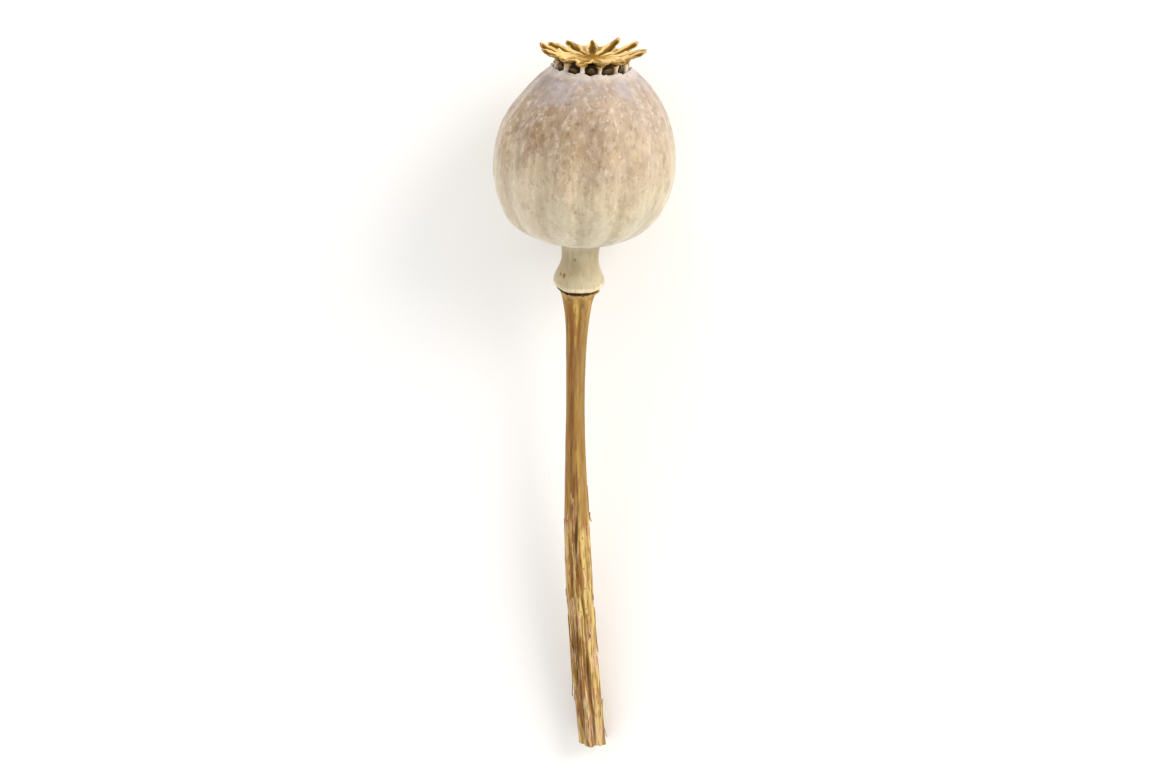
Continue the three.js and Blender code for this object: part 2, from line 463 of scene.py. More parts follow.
def specks_group():
    """Small specks, one in some of the cells of a foam: a mask that is 1 in the middle of a speck."""
    foam = Pattern("Specks", "Mask", "Size", "Amount")
    wobble = foam.noise(foam.place, 2.5, 2.0)["Color"]
    offset = foam.vectors("MULTIPLY", wobble, (0.35, 0.35, 0.35))
    moved = foam.vectors("ADD", foam.place, offset)
    cells = foam.add("TexVoronoi", {"Vector": moved, "Scale": 1.0}).outputs
    chance = foam.add("SeparateColor", {0: cells["Color"]}).outputs
    size = foam.times(foam.given["Size"], foam.maths("ADD", chance[1], 0.5))
    dot = foam.ranged(cells["Distance"], size, foam.times(size, 0.45))
    picked = foam.maths("LESS_THAN", chance[0], foam.given["Amount"])
    return foam.giving(foam.times(dot, picked))


def grain_group():
    """The fine height of a dry skin: coarse and fine noise, drawn out along the axis."""
    skin = Pattern("Grain", "Height", "Fine")
    coarse = skin.noise(skin.place, 1.0, 5.0)[0]
    fine = skin.times(skin.noise(skin.place, 4.3, 3.0)[0], skin.given["Fine"])
    return skin.giving(skin.maths("ADD", coarse, fine))


mottling_tree = mottling_group()
specks_tree = specks_group()
grain_tree = grain_group()


class Finish(Nodes):
    """A material in the making, with its colour so far. Patterns are sized by width and length in mm."""

    def __init__(self, name):
        self.material = bpy.data.materials.new(name)
        self.material.use_nodes = True
        super().__init__(self.material.node_tree)
        self.tree.nodes.clear()

    def mask(self, label):
        return self.add("Attribute", attribute_name=label).outputs["Fac"]

    def pattern(self, group, size, **numbers):
        place = self.add("Attribute", attribute_name="grown").outputs["Vector"]
        inputs = {"Place": place, "Width": size[0], "Length": size[1], **numbers}
        return self.add("Group", inputs, node_tree=group).outputs[0]

    def mottled(self, size, span, detail=4, harshness=0.5):
        """A mask of blotches, which fade in between the two values of span."""
        fineness = {"Detail": detail, "Harshness": harshness}
        return self.pattern(mottling_tree, size, Low=span[0], High=span[1], **fineness)

    def row(self, value, stops):
        """Takes for its colour a row of colours along a value from 0 to 1."""
        ramp = self.add("ValToRGB", {0: value})
        elements = ramp.color_ramp.elements
        while len(elements) < len(stops):
            elements.new(1.0)
        for element, (position, colour) in zip(elements, stops.items()):
            element.position = position
            element.color = shade(colour)
        self.colour = ramp.outputs[0]

    def layer(self, tint, mask, strength=None):
        self.colour = self.mixed(self.colour, tint, mask, strength)

    def blotch(self, tint, size, span, strength, **fineness):
        self.layer(tint, self.mottled(size, span, **fineness), strength)

    def speck(self, tint, size, speck, amount, strength):
        """Lays specks in a share of the cells of a size. speck is a speck's size in a cell."""
        self.layer(tint, self.pattern(specks_tree, size, Size=speck, Amount=amount), strength)

    def closed(self, roughness, height, depth, sheen=0.0, specular=0.3):
        """The material, with its colour, a roughness and a bump in one shader."""
        bump = self.add("Bump", {"Height": height, "Distance": depth, "Strength": 1.0})
        skin = {"Base Color": self.colour, "Roughness": roughness, "Normal": bump.outputs[0]}
        gloss = {"Sheen Weight": sheen, "Sheen Roughness": SHEEN_ROUGHNESS, "Specular IOR Level": specular}
        shader = self.add("BsdfPrincipled", skin | gloss)
        self.add("OutputMaterial", {0: shader.outputs[0]})
        return self.material

    def dried(self, clouds, rough, size, fine, depth, **gloss):
        """The closed material of a dry skin: its roughness follows the clouds from one value of rough to the
        other, and its bump is a grain with a share of fine noise."""
        grain = self.pattern(grain_tree, size, Fine=fine)
        return self.closed(self.ranged(clouds, 0, 1, *rough), grain, depth, **gloss)


# Finishes


def capsule_finish():
    """Matt skin, greenish cream below and mottled with brown and mauve above."""
    skin = Finish("capsule_skin")
    height = skin.mask("height")
    rib = skin.mask("rib")
    clouds = skin.mottled((9, 13), (0.3, 0.7), detail=3)
    shift = skin.times(skin.maths("SUBTRACT", clouds, 0.5), 0.24)
    raised = skin.maths("ADD", height, shift)
    cream = {0.0: (180, 169, 141), 0.3: (189, 175, 145)}
    mauve = {0.52: (176, 158, 130), 0.74: (160, 138, 116), 0.92: (152, 135, 122)}
    skin.row(raised, cream | mauve)

    # Blush, yellow belly, dull and streaky upper half, pale streaks, brown blots and light flecks
    soft = skin.mottled((2.6, 4.2), (0.38, 0.68), detail=5, harshness=0.6)
    skin.layer((114, 84, 40), skin.mask("blush"), skin.ranged(soft, 0, 1, 0.35, 0.85))
    belly = skin.times(skin.ranged(height, 0.2, 0.5, 0, 0.5), skin.ranged(height, 0.85, 0.6))
    skin.blotch((184, 158, 112), (3.5, 8), (0.42, 0.72), belly, detail=5)
    upper = skin.ranged(height, 0.1, 0.75, 0.3, 0.75)
    dull = skin.times(upper, 0.65)
    skin.blotch((144, 122, 98), (3.4, 5), (0.46, 0.66), dull, detail=5, harshness=0.6)
    streaky = skin.times(upper, 0.55)
    skin.blotch((128, 104, 84), (1.4, 11), (0.46, 0.74), streaky)
    skin.blotch((216, 203, 180), (1.3, 9), (0.46, 0.76), 0.34, detail=3)
    skin.blotch((112, 86, 64), (1.1, 1.6), (0.5, 0.7), upper, detail=5, harshness=0.7)
    skin.blotch((222, 212, 196), (1.0, 1.5), (0.5, 0.72), 0.43, detail=5, harshness=0.7)

    # Fairer skin on the right, partly its own paler tone and partly painted light from the right, painted
    # fill light on the lower left, lilac bloom below the pores, and painted shade in it under the crown on
    # the left
    skin.layer((216, 199, 178), skin.mask("fair_and_painted_light"), skin.ranged(soft, 0, 1, 0.26, 0.08))
    veil = skin.ranged(skin.mottled((2.2, 2.6), (0.3, 0.7), detail=5), 0, 1, 0.2, 0.7)
    skin.layer((160, 153, 160), skin.ranged(raised, 0.8, 1.0), veil)
    # Painted shade under the crown on the upper left shoulder
    skin.layer((112, 97, 92), skin.mask("painted_shade_under_crown"), 0.6)

    # Painted highlight on the rib crests and painted shade in the furrows below, specks, the pores' lip, and
    # painted shade past it in the pores
    low = skin.ranged(height, 0.55, 0.1)
    # Painted highlight on the crests and painted shade in the furrows, on the lower part
    crest = skin.times(skin.ranged(rib, 0.5, 1.0), low)
    skin.layer((212, 203, 178), crest, 0.3)
    skin.layer((140, 122, 92), skin.ranged(rib, 0.3, 0.0), skin.ranged(low, 0, 1, 0.15, 0.28))
    more_above = skin.ranged(height, 0.2, 0.9, 0.25, 0.7)
    skin.speck((88, 62, 42), (0.6, 0.75), 0.24, 0.2, more_above)
    skin.layer((204, 194, 184), skin.mask("lip"), 0.6)
    # Painted shade: dark brown past the lip, for the hollow behind the pores
    skin.layer((84, 57, 22), skin.ranged(skin.mask("inside"), 0.2, 0.7))
    return skin.dried(clouds, (0.68, 0.84), (0.5, 1.0), 0.3, 0.08 * MM, sheen=0.4)


def pillar_finish():
    """Whitish lilac skin of the pillars, browner towards the crown."""
    skin = Finish("pore_pillar_skin")
    stain = skin.mottled((0.5, 1.2), (0.4, 0.7), detail=3)
    lilac = {0.0: (188, 176, 168), 0.5: (218, 208, 194)}
    brown = {0.75: (208, 186, 146), 1.0: (180, 140, 74)}
    skin.row(skin.mask("height"), lilac | brown)
    skin.layer((146, 116, 84), stain, 0.4)
    return skin.dried(stain, (0.7, 0.8), (0.3, 0.8), 0.4, 0.05 * MM)


def valve_finish():
    """Brown dry skin of the valves, paler towards the free tip."""
    skin = Finish("pore_valve_skin")
    stain = skin.mottled((0.4, 0.6), (0.4, 0.65), detail=3)
    skin.row(skin.mask("height"), {0.0: (62, 44, 20), 0.5: (100, 82, 46), 1.0: (112, 92, 58)})
    skin.layer((84, 58, 32), stain, 0.6)
    return skin.dried(stain, (0.7, 0.85), (0.3, 0.3), 0.4, 0.05 * MM)


def crown_finish():
    """Golden dry sheet: straw edges, partly pale margins and partly a painted highlight, brown along the
    grooves and darker as painted shade on the rays that face away, brown around the boss, darker veins, and
    painted light on the underside.
    """
    sheet = Finish("golden_crown")
    clouds = sheet.mottled((1.6, 1.6), (0.35, 0.65))
    sheet.colour = sheet.mixed((156, 124, 64), (134, 100, 44), clouds)
    # Pale margins and fold ridges, partly their own colour and partly a painted highlight
    sheet.layer((210, 180, 122), sheet.ranged(sheet.mask("edge"), 0.3, 0.9))
    sheet.layer((142, 104, 18), sheet.mask("heart"), 0.45)
    sheet.layer((112, 78, 24), sheet.mask("vein"), 0.72)
    sheet.layer((134, 96, 30), sheet.ranged(sheet.mask("groove"), 0.2, 0.8, 0, 0.8))
    # The groove band, darkened further as painted shade on the rays that face away from the camera
    groove_band_painted_shade = sheet.mask("groove_band_painted_shade")
    dark = sheet.mixed((88, 60, 4), (110, 77, 14), clouds)
    broken = sheet.ranged(sheet.mottled((0.5, 0.5), (0.3, 0.6)), 0, 1, 0.75, 1.0)
    sheet.layer(dark, sheet.ranged(groove_band_painted_shade, 0.3, 0.65), broken)
    sheet.layer((66, 42, 3), sheet.ranged(groove_band_painted_shade, 0.7, 1.0, 0, 0.75))
    sheet.layer((118, 80, 8), sheet.mask("boss"), 0.85)
    # Painted light: the underside is lightened where it faces down and gets less light
    sheet.layer((188, 148, 80), sheet.mask("under"), 0.7)
    sheet.layer((132, 96, 58), sheet.mask("tip"), 0.35)
    sheet.speck((104, 66, 28), (0.7, 0.7), 0.2, 0.2, 0.5)
    return sheet.dried(clouds, (0.5, 0.7), (0.35, 0.35), 0.4, 0.06 * MM, specular=0.07)


def neck_finish():
    """Pale greenish cream, matt and waxy, with a painted straw highlight along the rim, faint lines and a few
    brown spots.
    """
    skin = Finish("pale_neck")
    height = skin.mask("height")
    spot = skin.mask("spot")
    clouds = skin.mottled((2.5, 4), (0.3, 0.7))
    skin.colour = skin.mixed((166, 152, 120), (183, 170, 139), clouds)
    skin.layer((196, 184, 156), skin.ranged(height, 0.4, 0.1, 0, 0.55))
    # Painted highlight along the rim's bead
    rim = skin.times(skin.ranged(height, 0.01, 0.03), skin.ranged(height, 0.12, 0.08))
    skin.layer((216, 201, 168), rim, skin.ranged(clouds, 0, 1, 0.5, 1.0))
    skin.layer((104, 74, 36), skin.ranged(height, 0.025, 0.0, 0, 0.9))
    skin.layer((186, 156, 94), spot, 0.7)
    skin.layer((112, 76, 34), skin.ranged(spot, 0.78, 0.94, 0, 0.85))
    skin.blotch((146, 128, 92), (0.45, 5), (0.5, 0.68), 0.4, detail=3)
    skin.speck((104, 72, 38), (1.5, 1.5), 0.22, 0.12, 0.75)
    return skin.dried(clouds, (0.62, 0.78), (0.4, 1.2), 0.35, 0.05 * MM, sheen=0.15)


def scar_finish():
    """Dark brown cork with lighter crumbs."""
    cork = Finish("corky_scar")
    crumbs = cork.mottled((0.4, 0.4), (0.4, 0.65))
    cork.colour = cork.mixed((78, 54, 22), (128, 94, 48), crumbs, 0.8)
    return cork.dried(crumbs, (0.95, 0.8), (0.25, 0.25), 0.6, 0.12 * MM)


def bark_finish():
    """Dry stalk in bands of brown and straw, which peels and cracks on its lower half."""
    bark = Finish("stem_bark")
    rough = bark.mask("rough")
    bands = bark.mottled((1.5, 60), (0.3, 0.7), detail=2.5)
    bark.row(bands, {0.0: (80, 47, 9), 0.3: (122, 80, 20), 0.65: (150, 109, 40), 1.0: (192, 156, 84)})

    # Tanned patches, the sides' own tints, the stripe, and pale and dark fibres
    tanned = bark.mottled((1.0, 6), (0.45, 0.57), detail=5)
    bark.layer((128, 79, 22), tanned, 0.7)
    bark.layer((168, 134, 84), bark.mask("pink"), 0.4)
    bark.layer((156, 132, 78), bark.mask("grey"), 0.45)
    bark.layer((104, 61, 13), bark.mask("stripe"), 0.75)
    fibres = bark.mottled((0.3, 20), (0.45, 0.68))
    bark.layer((186, 150, 78), fibres, 0.24)
    bark.blotch((96, 62, 22), (0.22, 12), (0.55, 0.68), 0.3, detail=3)

    # Peeling bark in two tints, rust, cracks and specks, strongest on the rough half
    patches = bark.mottled((0.8, 9), (0.43, 0.57), detail=6, harshness=0.6)
    peeling = bark.mixed((206, 178, 112), (206, 173, 136), tanned)
    bark.layer(peeling, patches, bark.ranged(rough, 0, 1, 0.14, 0.88))
    rusty = bark.ranged(rough, 0, 1, 0.3, 0.6)
    bark.blotch((148, 92, 44), (0.5, 3), (0.53, 0.62), rusty, detail=5)
    cracked = bark.ranged(rough, 0, 1, 0.08, 0.85)
    bark.blotch((84, 52, 18), (0.22, 5), (0.57, 0.63), cracked, detail=5)
    bark.speck((78, 50, 20), (0.8, 1.2), 0.24, 0.25, bark.ranged(rough, 0, 1, 0.15, 0.75))

    # The split, the pale lip under the scar and the cut end
    bark.layer((86, 56, 22), bark.ranged(bark.mask("split"), 0.2, 0.9, 0, 0.8))
    bark.layer((196, 164, 108), bark.ranged(bark.mask("height"), 0.985, 0.998, 0, 0.6))
    bark.layer((216, 200, 162), bark.mask("cut"))
    return bark.dried(fibres, (0.7, 0.52), (0.25, 8), 0.4, 0.07 * MM, specular=0.2)


# Capsule, pillars and valves


def capsule_outline():
    """Radius and height from the foot up: a superellipse below the belly, an ellipse up to the sill, a round
    lip, a trench behind it and a column in the middle. The third list is 1 past the lip."""
    turn = np.linspace(FOOT_TURN, np.pi / 2, LOWER_ROWS)
    power = 2 / LOWER_POWER
    low_radius = CAPSULE_RADIUS * np.sin(turn) ** power
    low_height = BELLY_Z - LOWER_HEIGHT * np.maximum(np.cos(turn), 0) ** power
    turn = np.linspace(0, SILL_ANGLE, UPPER_ROWS)[1:]
    up_radius = CAPSULE_RADIUS * np.cos(turn)
    up_height = BELLY_Z + UPPER_HEIGHT * np.sin(turn)
    turn = np.linspace(0.25, 1, LIP_ROWS) * np.pi
    lip_radius = SILL_RADIUS - LIP_RADIUS * (1 - np.cos(turn))
    lip_height = SILL_Z + LIP_RADIUS * np.sin(turn)
    share = np.linspace(0.1, 1, TRENCH_ROWS)
    trench_radius = SILL_RADIUS - 2 * LIP_RADIUS - share * TRENCH_WIDTH
    trench_height = SILL_Z - TRENCH_DEPTH * np.sin(share * np.pi * 0.75)
    column_radius = np.full(COLUMN_ROWS, trench_radius[-1])
    column_height = np.linspace(SILL_Z, CROWN_Z - 0.05 * MM, COLUMN_ROWS)
    radius = stacked(low_radius, up_radius, lip_radius, trench_radius, column_radius)
    height = stacked(low_height, up_height, lip_height, trench_height, column_height)
    past_lip = np.ones(TRENCH_ROWS + COLUMN_ROWS)
    inside = stacked(0 * low_radius, 0 * up_radius, np.linspace(0, 0.6, LIP_ROWS), past_lip)
    return radius, height, inside


def rib_wave(points, angle):
    """1 on a rib's crest and 0 in a furrow: a cosine with a wave per carpel, which wanders a little."""
    wander = RIB_WANDER * lumps(points, RIB_WANDER_SIZE, 1, stretch=2)
    return (1 - np.cos(CARPELS * (angle - FURROW_ANGLE) + wander)) / 2


def capsule_swell(plain, share, rib, inside):
    """What the ribs multiply the radius by: more at the top and the foot, and nothing past the lip."""
    depth = RIB_DEPTH_BELLY + RIB_DEPTH_TOP * smooth(share, 0.6, 1) + RIB_DEPTH_BASE * smooth(share, 0.3, 0)
    depth = depth * (1 + RIB_UNEVENNESS * lumps(plain, RIB_UNEVEN_SIZE, 2, stretch=3))
    return 1 + depth * (1 - inside) * (2 * rib - 1)


def capsule_dents(plain, share, angle):
    """How far the wall stands out beside its ribs: dents, fine puckers, and bell curves on the left side."""
    dents = DENT_DEPTH * lumps(plain, DENT_SIZE, 3, stretch=1.4)
    puckers = PUCKER_DEPTH * lumps(plain, PUCKER_SIZE, 4, stretch=2)
    left = np.maximum(np.cos(angle - FRONT_ANGLE + np.pi / 2), 0)
    uneven = sum(depth * bell(share, middle, reach) for depth, middle, reach in (LEFT_BULGE, LEFT_HOLLOW))
    return dents + puckers + left * uneven


def skin_mark(angle, share, turn, middle, reach_around, reach_along):
    """A soft round mark on the capsule: a bell curve around it times one along it."""
    return bell(off_angle(angle, FRONT_ANGLE + turn), 0, reach_around) * bell(share, middle, reach_along)


def fair_and_painted_light_sides(angle, share):
    """Where the skin is painted lighter: on the right above the foot, partly a paler tone and partly painted
    light from the right, and on the lower left, where it is painted fill light.
    """
    right = bell(off_angle(angle, FRONT_ANGLE + FAIR_LIT_TURN), 0, FAIR_LIT_REACH) * smooth(share, 0.3, 0.6)
    left = bell(off_angle(angle, FRONT_ANGLE + PAINTED_FILL_TURN), 0, PAINTED_FILL_REACH) * smooth(share, 0.62, 0.35)
    return right * (1 - 0.4 * smooth(share, 0.6, 0.85)) + PAINTED_FILL_STRENGTH * left


def capsule_points():
    """The outline spun around the axis, swollen at the ribs and dented, with a scalloped and toothed lip."""
    radius, height, inside = capsule_outline()
    angle = around(CAPSULE_COLUMNS)
    plain = rings(radius, height, angle)
    share = (height - CAPSULE_Z) / (SILL_Z - CAPSULE_Z)
    rib = rib_wave(plain, angle)
    fade = smooth(radius, 0, 4 * MM) * (1 - inside)
    swollen = radius * capsule_swell(plain, share, rib, inside) + capsule_dents(plain, share, angle) * fade
    near_lip = smooth(height, SILL_Z - 1.2 * MM, SILL_Z)
    near_lip = near_lip * smooth(radius, SILL_RADIUS - 2 * MM, SILL_RADIUS - 0.6 * MM)
    teeth = LIP_TOOTH * lumps(plain, LIP_TOOTH_SIZE, 5)
    lifted = height + (LIP_SCALLOP * (2 * rib - 1) + teeth) * near_lip
    masks = {
        "height": share,
        "rib": rib,
        "inside": inside,
        "lip": near_lip * (1 - inside),
        "blush": skin_mark(angle, share, *BLUSH),
        "painted_shade_under_crown": skin_mark(angle, share, *PAINTED_SHADE_UNDER_CROWN),
        "fair_and_painted_light": fair_and_painted_light_sides(angle, share),
    }
    return rings(swollen, lifted, angle)[None], masks


def turned_copies(points, first_angle):
    """One copy per carpel of points that lie along +x, turned evenly about the axis, as complex numbers."""
    turn = np.exp(1j * (first_angle + around(CARPELS)))[:, None, None]
    x, y, z = np.moveaxis(points, -1, 0)
    turned = (x + 1j * y) * turn
    return np.stack([turned.real, turned.imag, z + 0 * turned.real], axis=-1)


def pillar_points():
    """Upright blades between the pores: an oval section that leans in and widens at both ends."""
    share = np.linspace(0, 1, PILLAR_ROWS)[:, None]
    angle = around(PILLAR_COLUMNS)
    ends = np.abs(2 * share - 1) ** 3
    half_width = PILLAR_HALF_WIDTH * (0.95 + 1.5 * ends)
    half_depth = PILLAR_HALF_DEPTH * (0.85 + 0.5 * ends)
    foot_radius = SILL_RADIUS - PILLAR_INSET
    middle = foot_radius + (PILLAR_TOP_RADIUS - foot_radius) * share
    low = SILL_Z - PILLAR_ROOT
    height = np.minimum(low + share * (CROWN_Z + 0.35 * MM - low), CROWN_Z + 0.1 * MM)
    x = middle + half_depth * np.cos(angle)
    y = half_width * np.sin(angle)
    blade = np.stack([x, y, height + 0 * angle], axis=-1)
    points = turned_copies(blade[None], RIB_ANGLE)
    points = points + (0.09 * MM * lumps(points, 1.6 * MM, 11))[..., None]
    return points, {"height": share}


def valve_points():
    """Small tongues that stand up behind the pores' sills and curl outwards: a flat section on an arc."""
    share = np.linspace(0, 1, VALVE_ROWS)[:, None]
    angle = around(VALVE_COLUMNS)
    bend = VALVE_START - VALVE_CURL * share
    step = VALVE_LENGTH / (VALVE_ROWS - 1)
    x = SILL_RADIUS - VALVE_INSET + step * np.cumsum(np.cos(bend), axis=0) * 0.6
    z = SILL_Z + 0.25 * MM + step * np.cumsum(np.sin(bend), axis=0)
    half_width = VALVE_HALF_WIDTH * np.sqrt(np.clip(1 - share ** 2.5, 0.02, 1))
    across = half_width * np.sin(angle)
    through = VALVE_THICKNESS * np.cos(angle)
    tongue = np.stack([x - through * np.sin(bend), across, z + through * np.cos(bend)], axis=-1)
    points = turned_copies(tongue[None], FURROW_ANGLE)
    points = points + (0.12 * MM * lumps(points, 3 * MM, 12))[..., None]
    return points, {"height": share}


# Crown


def ray_half_width(along):
    """Half a ray's width, which narrows evenly from the notches to the rounded tip."""
    ends = [SINUS_RADIUS, RAY_REACH - RAY_TIP_LENGTH]
    return np.interp(along, ends, [RAY_BASE_HALF, RAY_TIP_HALF])


def ray_outline():
    """One sector's edge, from notch to notch round a ray's tip: radius, and angle from the ray's middle. It
    is worked out as complex numbers, along the ray and across it."""
    turn = np.linspace(0, np.pi / 2, 30)
    tip_along = RAY_REACH - RAY_TIP_LENGTH * (1 - np.cos(turn))
    tip_across = RAY_TIP_HALF * np.sin(turn)
    side_along = np.linspace(RAY_REACH - RAY_TIP_LENGTH, SINUS_RADIUS, 40)[1:]
    bay = SINUS_RADIUS * math.tan(HALF_PITCH) - RAY_BASE_HALF
    open_share = np.clip((side_along - SINUS_RADIUS) / bay, 0, 1)
    side_across = ray_half_width(side_along) + bay * (1 - np.sqrt(1 - (1 - open_share) ** 2))
    half = np.concatenate([tip_along + 1j * tip_across, side_along + 1j * side_across])
    length = np.concatenate([[0], np.cumsum(np.abs(np.diff(half)))])
    half = np.interp(np.linspace(0, length[-1], SECTOR_COLUMNS // 2 + 1), length, half)
    edge = np.concatenate([half[::-1].conj(), half[1:-1]])
    return np.abs(edge), np.angle(edge)


def ray_habits():
    """Each ray's angle, and how much it is longer, swung aside, higher and rolled, by chance and by side."""
    draw = np.random.default_rng(CROWN_SEED)
    ray = (CARPELS, 1, 1)
    longer = draw.uniform(-RAY_SHORTER, RAY_LONGER, ray)
    swung = draw.uniform(-RAY_SWING, RAY_SWING, ray)
    ray_angle = RIB_ANGLE + around(CARPELS)[:, None, None]
    towards_view = np.cos(ray_angle - FRONT_ANGLE)
    towards_right = np.sin(ray_angle - FRONT_ANGLE)
    higher = draw.uniform(-RAY_UNEVEN_RISE, RAY_UNEVEN_RISE, ray)
    higher = higher - FRONT_DROOP * smooth(towards_view, 0.3, 0.95)
    higher = higher + RIGHT_LIFT * smooth(towards_right, 0.55, 0.95)
    rolled = RAY_ROLL * towards_right + draw.uniform(-RAY_UNEVEN_ROLL, RAY_UNEVEN_ROLL, ray)
    return ray_angle, longer, swung, higher, rolled, towards_view


def crown_rows():
    """Rows out along the underside, round the edge and back on top: the share of the way to the edge, 1 on
    the underside, and 1 where the edge bulges."""
    outward = np.linspace(0, 1, CROWN_ROWS) ** 0.8
    outward[0] = 0.02
    none = np.zeros(CROWN_ROWS)
    share = stacked(outward, [1, 1, 1], outward[::-1])
    under = stacked(none + 1, [0.85, 0.5, 0.15], none)
    bulge = stacked(none, [0.7, 1, 0.7], none)
    return share, under, bulge


def joined_sectors(values):
    """Values by ray, row and column of a sector, as one dish by copy, row and column."""
    return np.concatenate(values, axis=1)[None]


def crown_points():
    """A thin pleated dish that is slit into rays. Outwards from the boss it folds into a gutter per ray, and
    the rays curve up and roll a little. The underside follows at the sheet's thickness, with an apron at the
    notches."""
    edge_radius, edge_angle = ray_outline()
    ray_angle, longer, swung, higher, rolled, towards_view = ray_habits()
    share, under, bulge = crown_rows()
    radius = share * edge_radius
    free = smooth(radius, SINUS_RADIUS * 0.95, RAY_REACH)
    radius = radius * (1 + longer * free) + bulge * EDGE_THICKNESS / 2
    along = radius * np.cos(edge_angle)
    across = radius * np.sin(edge_angle)

    # How far a point is from a gutter's floor towards its edge, and what lifts the sheet
    sector = np.maximum(along, 0.2 * MM) * math.tan(HALF_PITCH)
    half = (sector ** -6 + ray_half_width(along) ** -6) ** (-1 / 6)
    spoon = smooth(along, RAY_REACH - SPOON_LENGTH, RAY_REACH)
    fold = np.clip(np.hypot(across / half, spoon), 0, 1.2)
    pleat = PLEAT_HEIGHT * smooth(radius, 1.2 * MM, 4.4 * MM) * (1 - 0.35 * free)
    climb = np.clip((radius - RISE_START) / (RAY_REACH - RISE_START), 0, 2)
    rise = RAY_RISE * (1 + higher) * climb ** RISE_POWER
    boss = BOSS_HEIGHT * bell(radius, 0, BOSS_RADIUS)
    tilt = rolled * across * free
    height = CROWN_Z + SHEET_THICKNESS + rise + tilt + pleat * fold ** PLEAT_POWER + boss * (1 - under)
    hem = smooth(fold, 0.9, 1.1) * smooth(radius, SINUS_RADIUS - 1.2 * MM, SINUS_RADIUS)
    hem = hem * smooth(radius, SINUS_RADIUS + 1.2 * MM, SINUS_RADIUS + 0.4 * MM)
    thickness = EDGE_THICKNESS + (SHEET_THICKNESS - EDGE_THICKNESS) * smooth(share, 1, 0.8)
    height = height - under * (thickness + APRON * hem)

    # Veins that run outwards, and a fine ripple
    angle = edge_angle + swung * free + ray_angle
    heading = rings(1.0, radius / (40 * MM), angle)
    vein = smooth(lumps(heading, 0.14, 23), 0.0, 1.0) * smooth(radius, 2 * MM, 4 * MM) * (1 - under)
    points = rings(radius, height - VEIN_DEPTH * vein, angle)
    ripple = 0.06 * MM * lumps(points, 2.2 * MM, 21) + 0.03 * MM * lumps(points, 0.9 * MM, 22)
    points = points + ripple[..., None] * np.array([0.5, 0.5, 1])

    valley = (1 - np.minimum(fold / 0.74, 1) ** 2) * (1 - under) * smooth(radius, 1.8 * MM, 2.8 * MM)
    near_edge = smooth(share, 0.86, 0.99) * smooth(fold, 0.5, 0.9)
    ridge = smooth(fold, 0.45, 0.8) * smooth(radius, 1.4 * MM, 3.4 * MM)
    in_shade = 1 - 0.5 * smooth(towards_view, 0.3, 0.9)
    masks = {
        "groove": valley,
        # Painted shade: the groove band is darker on the rays that face away from the camera
        "groove_band_painted_shade": valley * smooth(radius, 2.0 * MM, 3.6 * MM) * in_shade,
        # Pale margins and ridges, partly their own colour and partly a painted highlight
        "edge": np.maximum(near_edge, ridge * (1 - 0.5 * under)),
        "vein": vein,
        # Painted light on the underside
        "under": under,
        "boss": smooth(radius, BOSS_RADIUS * 1.25, BOSS_RADIUS * 0.8) * (1 - under),
        "heart": smooth(radius, 5 * MM, 2.5 * MM) * (1 - under),
        "tip": smooth(along, RAY_REACH - 0.9 * MM, RAY_REACH),
    }
    size = points.shape[:3]
    masks = {label: joined_sectors(np.broadcast_to(values, size)) for label, values in masks.items()}
    return joined_sectors(points), masks


# Neck and scar


def neck_points():
    """A turned bell: a bead, a groove over it, a hollow sweep to the waist, and a fillet at the top."""
    low = NECK_Z - 0.1 * MM
    turn = np.linspace(-0.5, 0.38, BEAD_ROWS) * np.pi
    bead_radius = RIM_RADIUS - BEAD_RADIUS * (1 - np.cos(turn))
    bead_height = low + 1.5 * BEAD_RADIUS * (1 + np.sin(turn))
    bead_top = bead_height[-1]
    bell_height = np.linspace(bead_top, NECK_TOP + 0.75 * MM, BELL_ROWS)[1:]
    share = np.clip((bell_height - bead_top) / BELL_HEIGHT, 0, 1)
    sweep = WAIST_RADIUS + (RIM_RADIUS - WAIST_RADIUS) * (1 - share) ** BELL_POWER
    sweep = sweep - BEAD_GROOVE * bell(bell_height, bead_top, 0.3 * MM)
    sweep = sweep + NECK_FILLET * np.exp((bell_height - bell_height[-1]) / (0.6 * MM))
    foot_radius = np.linspace(0.2, 1, NECK_FOOT_ROWS + 1)[:-1] * bead_radius[0]
    cap_radius = np.linspace(0.9, 0.1, NECK_CAP_ROWS) * sweep[-1]
    cap_height = 0 * cap_radius + bell_height[-1] + 0.4 * MM
    radius = stacked(foot_radius, bead_radius, sweep, cap_radius)
    height = stacked(0 * foot_radius + low, bead_height, bell_height, cap_height)
    angle = around(NECK_COLUMNS)
    plain = rings(radius, height, angle)
    lines = 0.01 * lumps(plain * np.array([1, 1, 0.12]), 1.6 * MM, 31) + 0.012 * lumps(plain, 6 * MM, 32)
    points = rings(radius * (1 + lines), height + 0.12 * MM * lumps(plain, 5 * MM, 33), angle)
    off_side = off_angle(angle, FRONT_ANGLE + SPOT_TURN) * radius
    off_spot = np.hypot(off_side, height - low - SPOT_HEIGHT)
    masks = {"height": (height - low) / (NECK_TOP - low), "spot": bell(off_spot, 0, SPOT_RADIUS)}
    return points[None], masks


